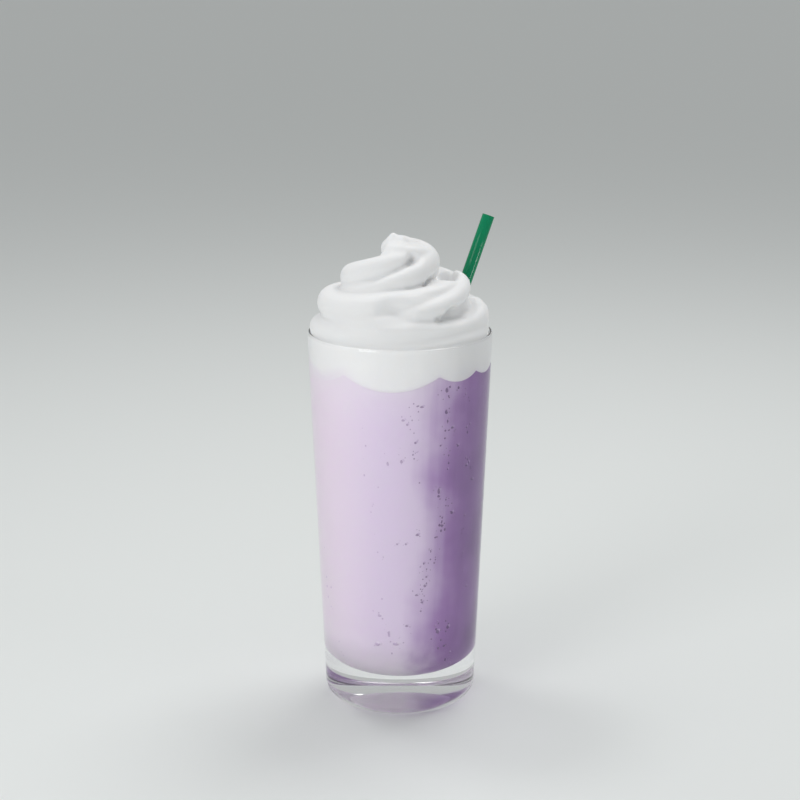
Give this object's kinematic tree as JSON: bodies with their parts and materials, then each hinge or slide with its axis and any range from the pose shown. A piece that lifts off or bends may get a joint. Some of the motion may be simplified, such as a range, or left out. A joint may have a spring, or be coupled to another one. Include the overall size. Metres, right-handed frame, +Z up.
{
  "type": "lavender cream frappe",
  "caption": "Blended lavender drink in a tall heavy-based tumbler, with a piped swirl of whipped cream above the rim and a leaning green straw.",
  "frame": {"origin": "centre of the glass's underside, on the surface it stands on", "axes": "+Z up along the glass's axis, +X to the right and -Y towards the viewer, with the straw leaning to +X and +Y"},
  "size_m": [0.0817, 0.08, 0.2115],
  "materials": {
    "clear_glass": "clear, colourless, polished glass",
    "lavender_drink": "opaque milky lavender with small purple bubbles and a deeper purple side",
    "whipped_cream": "soft white, satin, slightly translucent",
    "green_straw": "glossy opaque green plastic"
  },
  "bodies": {
    "root": {"glass": "clear_glass", "drink": "lavender_drink", "whipped_cream": "whipped_cream", "straw": "green_straw"}
  },
  "joints": []
}
